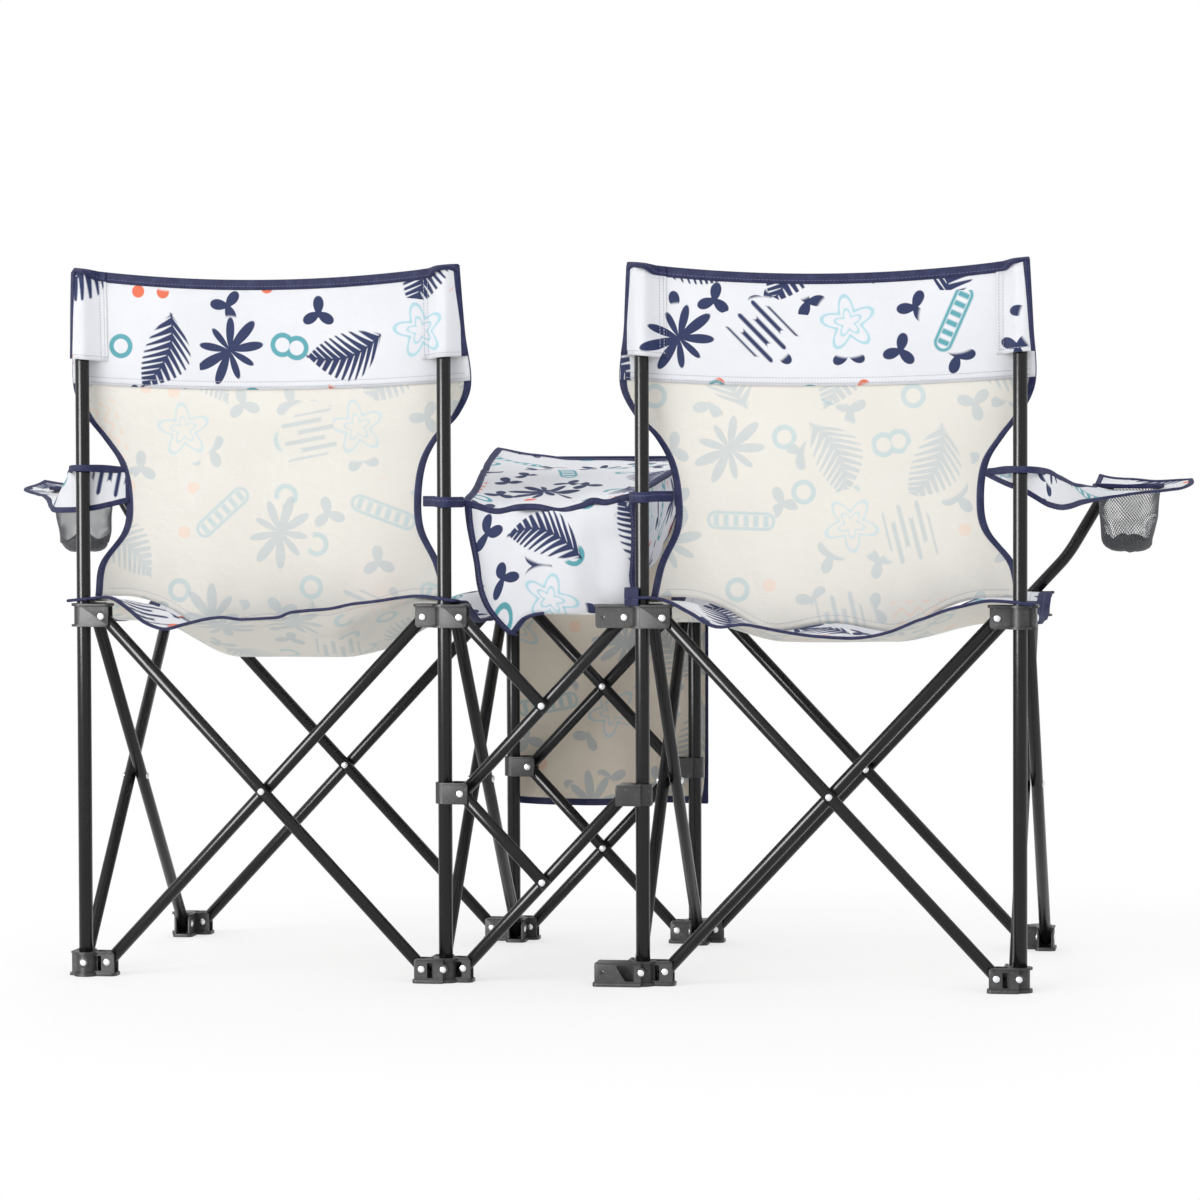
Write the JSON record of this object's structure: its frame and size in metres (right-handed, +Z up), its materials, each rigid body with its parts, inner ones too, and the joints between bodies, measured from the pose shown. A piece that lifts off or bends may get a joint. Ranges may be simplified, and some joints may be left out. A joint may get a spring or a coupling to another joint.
{
  "type": "folding camping loveseat",
  "caption": "Folding camping loveseat: scissor-frame fabric chairs joined side by side by a console bag, with outer armrests that hold cups and a cloth front panel.",
  "frame": {"origin": "on the floor under the middle of the whole loveseat", "axes": "+X to the sitter's left, -Y the way the sitter faces, +Z up"},
  "size_m": [1.434, 0.472, 0.812],
  "materials": {
    "painted_steel": "gloss black paint",
    "moulded_plastic": "satin black",
    "printed_cloth": "plain weave, white with navy, teal and coral print",
    "cloth_reverse": "plain weave, coated beige reverse"
  },
  "bodies": {
    "left_outer_rear_corner": {"left_outer_rear_foot": "moulded_plastic", "left_outer_rear_post": "painted_steel", "left_armrest": "printed_cloth"},
    "left_inner_rear_corner": {"left_inner_rear_foot": "moulded_plastic", "left_inner_rear_post": "painted_steel", "left_backrest": "cloth_reverse"},
    "right_inner_rear_corner": {"right_inner_rear_foot": "moulded_plastic", "right_inner_rear_post": "painted_steel", "right_backrest": "cloth_reverse"},
    "right_outer_rear_corner": {"right_outer_rear_foot": "moulded_plastic", "right_outer_rear_post": "painted_steel", "right_armrest": "printed_cloth"},
    "left_outer_front_corner": {"left_outer_front_foot": "moulded_plastic"},
    "left_inner_front_corner": {"left_inner_front_foot": "moulded_plastic", "left_inner_front_post": "painted_steel", "front_panel": "cloth_reverse"},
    "right_inner_front_corner": {"right_inner_front_foot": "moulded_plastic", "right_inner_front_post": "painted_steel"},
    "right_outer_front_corner": {"right_outer_front_foot": "moulded_plastic"},
    "left_outer_rear_hub": {"left_outer_rear_hub": "moulded_plastic"},
    "left_inner_rear_hub": {"left_inner_rear_hub": "moulded_plastic"},
    "right_inner_rear_hub": {"right_inner_rear_hub": "moulded_plastic"},
    "right_outer_rear_hub": {"right_outer_rear_hub": "moulded_plastic"},
    "left_outer_front_hub": {"left_outer_front_hub": "moulded_plastic"},
    "left_inner_front_hub": {"left_inner_front_hub": "moulded_plastic"},
    "right_inner_front_hub": {"right_inner_front_hub": "moulded_plastic"},
    "right_outer_front_hub": {"right_outer_front_hub": "moulded_plastic"},
    "left_inner_rear_collar": {"left_inner_rear_collar": "moulded_plastic"},
    "right_inner_rear_collar": {"right_inner_rear_collar": "moulded_plastic"},
    "left_inner_front_collar": {"left_inner_front_collar": "moulded_plastic"},
    "right_inner_front_collar": {"right_inner_front_collar": "moulded_plastic"},
    "left_inner_side_tube_a": {"left_inner_side_tube_a": "painted_steel"},
    "left_inner_side_tube_b": {"left_inner_side_tube_b": "painted_steel"},
    "left_front_arm_tube": {"left_front_arm_tube": "painted_steel"},
    "left_front_tube_b": {"left_front_tube_b": "painted_steel"},
    "middle_front_lower_bar_a": {"middle_front_lower_bar_a": "painted_steel"},
    "middle_front_lower_bar_b": {"middle_front_lower_bar_b": "painted_steel"},
    "middle_front_upper_bar_a": {"middle_front_upper_bar_a": "painted_steel"},
    "middle_front_upper_bar_b": {"middle_front_upper_bar_b": "painted_steel"},
    "middle_rear_lower_bar": {"middle_rear_lower_bar": "painted_steel"},
    "middle_rear_lower_link": {"middle_rear_lower_link": "painted_steel"},
    "middle_rear_upper_bar": {"middle_rear_upper_bar": "painted_steel"},
    "middle_rear_upper_link": {"middle_rear_upper_link": "painted_steel"},
    "left_back_tube_a": {"left_back_tube_a": "painted_steel"},
    "left_back_tube_b": {"left_back_tube_b": "painted_steel"},
    "right_inner_side_tube_a": {"right_inner_side_tube_a": "painted_steel"},
    "right_inner_side_tube_b": {"right_inner_side_tube_b": "painted_steel"},
    "right_front_arm_tube": {"right_front_arm_tube": "painted_steel"},
    "right_front_tube_b": {"right_front_tube_b": "painted_steel"},
    "right_back_tube_a": {"right_back_tube_a": "painted_steel"},
    "right_back_tube_b": {"right_back_tube_b": "painted_steel"},
    "left_outer_side_tube_a": {"left_outer_side_tube_a": "painted_steel"},
    "left_outer_side_tube_b": {"left_outer_side_tube_b": "painted_steel"},
    "right_outer_side_tube_a": {"right_outer_side_tube_a": "painted_steel"},
    "right_outer_side_tube_b": {"right_outer_side_tube_b": "painted_steel"},
    "left_seat_rear_half": {"left_seat_rear_half": "printed_cloth"},
    "left_seat_front_half": {"left_seat_front_half": "printed_cloth"},
    "right_seat_rear_half": {"right_seat_rear_half": "printed_cloth"},
    "right_seat_front_half": {"right_seat_front_half": "printed_cloth"},
    "console_bag": {"console_bag": "printed_cloth"}
  },
  "joints": [
    {"name": "fold", "type": "hinge", "parent": "left_inner_front_corner", "child": "left_inner_side_tube_a", "pos_m": [0.113, -0.1797, 0.016], "axis": [1, 0, 0], "range_deg": [0, 31.5], "deforming": ["left_backrest", "right_backrest", "left_armrest", "right_armrest", "left_seat_rear_half", "right_seat_rear_half", "left_seat_front_half", "right_seat_front_half", "console_bag", "front_panel"]},
    {"name": "left_inner_side_tube_b", "type": "hinge", "parent": "left_inner_side_tube_a", "child": "left_inner_side_tube_b", "pos_m": [0.113, 0.0063, 0.215], "axis": [1, 0, 0], "range_deg": [-63, 0]},
    {"name": "left_inner_rear_corner", "type": "hinge", "parent": "left_inner_side_tube_b", "child": "left_inner_rear_corner", "pos_m": [0.113, 0.1923, 0.016], "axis": [1, 0, 0], "range_deg": [0, 31.5]},
    {"name": "left_inner_rear_hub", "type": "hinge", "parent": "left_inner_side_tube_a", "child": "left_inner_rear_hub", "pos_m": [0.113, 0.1923, 0.414], "axis": [1, 0, 0], "range_deg": [-31.5, 0]},
    {"name": "left_inner_front_hub", "type": "hinge", "parent": "left_inner_side_tube_b", "child": "left_inner_front_hub", "pos_m": [0.113, -0.1797, 0.414], "axis": [1, 0, 0], "range_deg": [0, 31.5]},
    {"name": "left_front_arm_tube", "type": "hinge", "parent": "left_inner_front_corner", "child": "left_front_arm_tube", "pos_m": [0.138, -0.2047, 0.016], "axis": [0, -1, 0], "range_deg": [0, 31.5]},
    {"name": "left_front_tube_b", "type": "hinge", "parent": "left_front_arm_tube", "child": "left_front_tube_b", "pos_m": [0.324, -0.2047, 0.215], "axis": [0, -1, 0], "range_deg": [-63, 0]},
    {"name": "left_outer_front_corner", "type": "hinge", "parent": "left_front_tube_b", "child": "left_outer_front_corner", "pos_m": [0.51, -0.2047, 0.016], "axis": [0, -1, 0], "range_deg": [0, 31.5]},
    {"name": "left_outer_front_hub", "type": "hinge", "parent": "left_front_arm_tube", "child": "left_outer_front_hub", "pos_m": [0.51, -0.2047, 0.414], "axis": [0, -1, 0], "range_deg": [-31.5, 0]},
    {"name": "middle_front_lower_bar_a", "type": "hinge", "parent": "left_inner_front_corner", "child": "middle_front_lower_bar_a", "pos_m": [0.093, -0.2047, 0.016], "axis": [0, 1, 0], "range_deg": [0, 31.5]},
    {"name": "middle_front_lower_bar_b", "type": "hinge", "parent": "middle_front_lower_bar_a", "child": "middle_front_lower_bar_b", "pos_m": [0, -0.2047, 0.1155], "axis": [0, 1, 0], "range_deg": [-63, 0]},
    {"name": "right_inner_front_corner", "type": "hinge", "parent": "middle_front_lower_bar_b", "child": "right_inner_front_corner", "pos_m": [-0.093, -0.2047, 0.016], "axis": [0, 1, 0], "range_deg": [0, 31.5]},
    {"name": "right_inner_front_collar", "type": "hinge", "parent": "middle_front_lower_bar_a", "child": "right_inner_front_collar", "pos_m": [-0.093, -0.2047, 0.215], "axis": [0, 1, 0], "range_deg": [-31.5, 0]},
    {"name": "left_inner_front_collar", "type": "hinge", "parent": "middle_front_lower_bar_b", "child": "left_inner_front_collar", "pos_m": [0.093, -0.2047, 0.215], "axis": [0, 1, 0], "range_deg": [0, 31.5]},
    {"name": "middle_front_upper_bar_a", "type": "hinge", "parent": "middle_front_lower_bar_b", "child": "middle_front_upper_bar_a", "pos_m": [0.093, -0.2047, 0.215], "axis": [0, 1, 0], "range_deg": [0, 63]},
    {"name": "middle_front_upper_bar_b", "type": "hinge", "parent": "middle_front_lower_bar_a", "child": "middle_front_upper_bar_b", "pos_m": [-0.093, -0.2047, 0.215], "axis": [0, 1, 0], "range_deg": [-63, 0]},
    {"name": "left_back_tube_a", "type": "hinge", "parent": "left_inner_rear_corner", "child": "left_back_tube_a", "pos_m": [0.138, 0.2173, 0.016], "axis": [0, -1, 0], "range_deg": [0, 31.5]},
    {"name": "left_back_tube_b", "type": "hinge", "parent": "left_back_tube_a", "child": "left_back_tube_b", "pos_m": [0.324, 0.2173, 0.215], "axis": [0, -1, 0], "range_deg": [-63, 0]},
    {"name": "left_outer_rear_corner", "type": "hinge", "parent": "left_back_tube_b", "child": "left_outer_rear_corner", "pos_m": [0.51, 0.2173, 0.016], "axis": [0, -1, 0], "range_deg": [0, 31.5]},
    {"name": "left_outer_rear_hub", "type": "hinge", "parent": "left_back_tube_a", "child": "left_outer_rear_hub", "pos_m": [0.51, 0.2173, 0.414], "axis": [0, -1, 0], "range_deg": [-31.5, 0]},
    {"name": "right_inner_side_tube_a", "type": "hinge", "parent": "right_inner_front_corner", "child": "right_inner_side_tube_a", "pos_m": [-0.113, -0.1797, 0.016], "axis": [1, 0, 0], "range_deg": [0, 31.5]},
    {"name": "right_inner_side_tube_b", "type": "hinge", "parent": "right_inner_side_tube_a", "child": "right_inner_side_tube_b", "pos_m": [-0.113, 0.0063, 0.215], "axis": [1, 0, 0], "range_deg": [-63, 0]},
    {"name": "right_inner_rear_corner", "type": "hinge", "parent": "right_inner_side_tube_b", "child": "right_inner_rear_corner", "pos_m": [-0.113, 0.1923, 0.016], "axis": [1, 0, 0], "range_deg": [0, 31.5]},
    {"name": "right_inner_rear_hub", "type": "hinge", "parent": "right_inner_side_tube_a", "child": "right_inner_rear_hub", "pos_m": [-0.113, 0.1923, 0.414], "axis": [1, 0, 0], "range_deg": [-31.5, 0]},
    {"name": "right_inner_front_hub", "type": "hinge", "parent": "right_inner_side_tube_b", "child": "right_inner_front_hub", "pos_m": [-0.113, -0.1797, 0.414], "axis": [1, 0, 0], "range_deg": [0, 31.5]},
    {"name": "right_front_arm_tube", "type": "hinge", "parent": "right_inner_front_corner", "child": "right_front_arm_tube", "pos_m": [-0.138, -0.2047, 0.016], "axis": [0, 1, 0], "range_deg": [0, 31.5]},
    {"name": "right_front_tube_b", "type": "hinge", "parent": "right_front_arm_tube", "child": "right_front_tube_b", "pos_m": [-0.324, -0.2047, 0.215], "axis": [0, 1, 0], "range_deg": [-63, 0]},
    {"name": "right_outer_front_corner", "type": "hinge", "parent": "right_front_tube_b", "child": "right_outer_front_corner", "pos_m": [-0.51, -0.2047, 0.016], "axis": [0, 1, 0], "range_deg": [0, 31.5]},
    {"name": "right_outer_front_hub", "type": "hinge", "parent": "right_front_arm_tube", "child": "right_outer_front_hub", "pos_m": [-0.51, -0.2047, 0.414], "axis": [0, 1, 0], "range_deg": [-31.5, 0]},
    {"name": "right_back_tube_a", "type": "hinge", "parent": "right_inner_rear_corner", "child": "right_back_tube_a", "pos_m": [-0.138, 0.2173, 0.016], "axis": [0, 1, 0], "range_deg": [0, 31.5]},
    {"name": "right_back_tube_b", "type": "hinge", "parent": "right_back_tube_a", "child": "right_back_tube_b", "pos_m": [-0.324, 0.2173, 0.215], "axis": [0, 1, 0], "range_deg": [-63, 0]},
    {"name": "right_outer_rear_corner", "type": "hinge", "parent": "right_back_tube_b", "child": "right_outer_rear_corner", "pos_m": [-0.51, 0.2173, 0.016], "axis": [0, 1, 0], "range_deg": [0, 31.5]},
    {"name": "right_outer_rear_hub", "type": "hinge", "parent": "right_back_tube_a", "child": "right_outer_rear_hub", "pos_m": [-0.51, 0.2173, 0.414], "axis": [0, 1, 0], "range_deg": [-31.5, 0]},
    {"name": "left_outer_side_tube_a", "type": "hinge", "parent": "left_outer_rear_corner", "child": "left_outer_side_tube_a", "pos_m": [0.535, 0.1923, 0.016], "axis": [-1, 0, 0], "range_deg": [0, 31.5]},
    {"name": "left_outer_side_tube_b", "type": "hinge", "parent": "left_outer_front_corner", "child": "left_outer_side_tube_b", "pos_m": [0.535, -0.1797, 0.016], "axis": [1, 0, 0], "range_deg": [0, 31.5]},
    {"name": "right_outer_side_tube_a", "type": "hinge", "parent": "right_outer_rear_corner", "child": "right_outer_side_tube_a", "pos_m": [-0.535, 0.1923, 0.016], "axis": [-1, 0, 0], "range_deg": [0, 31.5]},
    {"name": "right_outer_side_tube_b", "type": "hinge", "parent": "right_outer_front_corner", "child": "right_outer_side_tube_b", "pos_m": [-0.535, -0.1797, 0.016], "axis": [1, 0, 0], "range_deg": [0, 31.5]},
    {"name": "middle_rear_lower_bar", "type": "hinge", "parent": "left_inner_rear_corner", "child": "middle_rear_lower_bar", "pos_m": [0.093, 0.2173, 0.016], "axis": [0, 1, 0], "range_deg": [0, 31.5]},
    {"name": "middle_rear_lower_link", "type": "hinge", "parent": "middle_rear_lower_bar", "child": "middle_rear_lower_link", "pos_m": [0, 0.2173, 0.1155], "axis": [0, 1, 0], "range_deg": [-63, 0]},
    {"name": "left_inner_rear_collar", "type": "hinge", "parent": "middle_rear_lower_link", "child": "left_inner_rear_collar", "pos_m": [0.093, 0.2173, 0.215], "axis": [0, 1, 0], "range_deg": [0, 31.5]},
    {"name": "right_inner_rear_collar", "type": "hinge", "parent": "middle_rear_lower_bar", "child": "right_inner_rear_collar", "pos_m": [-0.093, 0.2173, 0.215], "axis": [0, 1, 0], "range_deg": [-31.5, 0]},
    {"name": "middle_rear_upper_bar", "type": "hinge", "parent": "middle_rear_lower_link", "child": "middle_rear_upper_bar", "pos_m": [0.093, 0.2173, 0.215], "axis": [0, 1, 0], "range_deg": [0, 63]},
    {"name": "middle_rear_upper_link", "type": "hinge", "parent": "middle_rear_upper_bar", "child": "middle_rear_upper_link", "pos_m": [0, 0.2173, 0.3145], "axis": [0, 1, 0], "range_deg": [-63, 0]},
    {"name": "left_seat_rear_half", "type": "hinge", "parent": "left_inner_rear_hub", "child": "left_seat_rear_half", "pos_m": [0.324, 0.2173, 0.4288], "axis": [1, 0, 0], "range_deg": [0, 51.09]},
    {"name": "left_seat_front_half", "type": "hinge", "parent": "left_seat_rear_half", "child": "left_seat_front_half", "pos_m": [0.324, 0.0063, 0.3608], "axis": [1, 0, 0], "range_deg": [-102.18, 0]},
    {"name": "right_seat_rear_half", "type": "hinge", "parent": "right_inner_rear_hub", "child": "right_seat_rear_half", "pos_m": [-0.324, 0.2173, 0.4288], "axis": [1, 0, 0], "range_deg": [0, 55.6]},
    {"name": "right_seat_front_half", "type": "hinge", "parent": "right_seat_rear_half", "child": "right_seat_front_half", "pos_m": [-0.324, 0.0063, 0.3808], "axis": [1, 0, 0], "range_deg": [-111.19, 0]},
    {"name": "console_bag", "type": "hinge", "parent": "left_inner_front_corner", "child": "console_bag", "pos_m": [0, -0.0747, 0.575], "axis": [-1, 0, 0], "range_deg": [0, 90]}
  ],
  "couplings": [
    {"joint": "left_inner_side_tube_b", "follows": "fold", "ratio": -2},
    {"joint": "left_inner_rear_corner", "follows": "fold", "ratio": 1},
    {"joint": "left_inner_rear_hub", "follows": "fold", "ratio": -1},
    {"joint": "left_inner_front_hub", "follows": "fold", "ratio": 1},
    {"joint": "left_front_arm_tube", "follows": "fold", "ratio": 1},
    {"joint": "left_front_tube_b", "follows": "fold", "ratio": -2},
    {"joint": "left_outer_front_corner", "follows": "fold", "ratio": 1},
    {"joint": "left_outer_front_hub", "follows": "fold", "ratio": -1},
    {"joint": "middle_front_lower_bar_a", "follows": "fold", "ratio": 1},
    {"joint": "middle_front_lower_bar_b", "follows": "fold", "ratio": -2},
    {"joint": "right_inner_front_corner", "follows": "fold", "ratio": 1},
    {"joint": "right_inner_front_collar", "follows": "fold", "ratio": -1},
    {"joint": "left_inner_front_collar", "follows": "fold", "ratio": 1},
    {"joint": "middle_front_upper_bar_a", "follows": "fold", "ratio": 2},
    {"joint": "middle_front_upper_bar_b", "follows": "fold", "ratio": -2},
    {"joint": "left_back_tube_a", "follows": "fold", "ratio": 1},
    {"joint": "left_back_tube_b", "follows": "fold", "ratio": -2},
    {"joint": "left_outer_rear_corner", "follows": "fold", "ratio": 1},
    {"joint": "left_outer_rear_hub", "follows": "fold", "ratio": -1},
    {"joint": "right_inner_side_tube_a", "follows": "fold", "ratio": 1},
    {"joint": "right_inner_side_tube_b", "follows": "fold", "ratio": -2},
    {"joint": "right_inner_rear_corner", "follows": "fold", "ratio": 1},
    {"joint": "right_inner_rear_hub", "follows": "fold", "ratio": -1},
    {"joint": "right_inner_front_hub", "follows": "fold", "ratio": 1},
    {"joint": "right_front_arm_tube", "follows": "fold", "ratio": 1},
    {"joint": "right_front_tube_b", "follows": "fold", "ratio": -2},
    {"joint": "right_outer_front_corner", "follows": "fold", "ratio": 1},
    {"joint": "right_outer_front_hub", "follows": "fold", "ratio": -1},
    {"joint": "right_back_tube_a", "follows": "fold", "ratio": 1},
    {"joint": "right_back_tube_b", "follows": "fold", "ratio": -2},
    {"joint": "right_outer_rear_corner", "follows": "fold", "ratio": 1},
    {"joint": "right_outer_rear_hub", "follows": "fold", "ratio": -1},
    {"joint": "left_outer_side_tube_a", "follows": "fold", "ratio": 1},
    {"joint": "left_outer_side_tube_b", "follows": "fold", "ratio": 1},
    {"joint": "right_outer_side_tube_a", "follows": "fold", "ratio": 1},
    {"joint": "right_outer_side_tube_b", "follows": "fold", "ratio": 1},
    {"joint": "middle_rear_lower_bar", "follows": "fold", "ratio": 1},
    {"joint": "middle_rear_lower_link", "follows": "fold", "ratio": -2},
    {"joint": "left_inner_rear_collar", "follows": "fold", "ratio": 1},
    {"joint": "right_inner_rear_collar", "follows": "fold", "ratio": -1},
    {"joint": "middle_rear_upper_bar", "follows": "fold", "ratio": 2},
    {"joint": "middle_rear_upper_link", "follows": "fold", "ratio": -2},
    {"joint": "left_seat_rear_half", "follows": "fold", "ratio": 1.6219},
    {"joint": "left_seat_front_half", "follows": "fold", "ratio": -3.2438},
    {"joint": "right_seat_rear_half", "follows": "fold", "ratio": 1.765},
    {"joint": "right_seat_front_half", "follows": "fold", "ratio": -3.53},
    {"joint": "console_bag", "follows": "fold", "ratio": 2.8571}
  ]
}
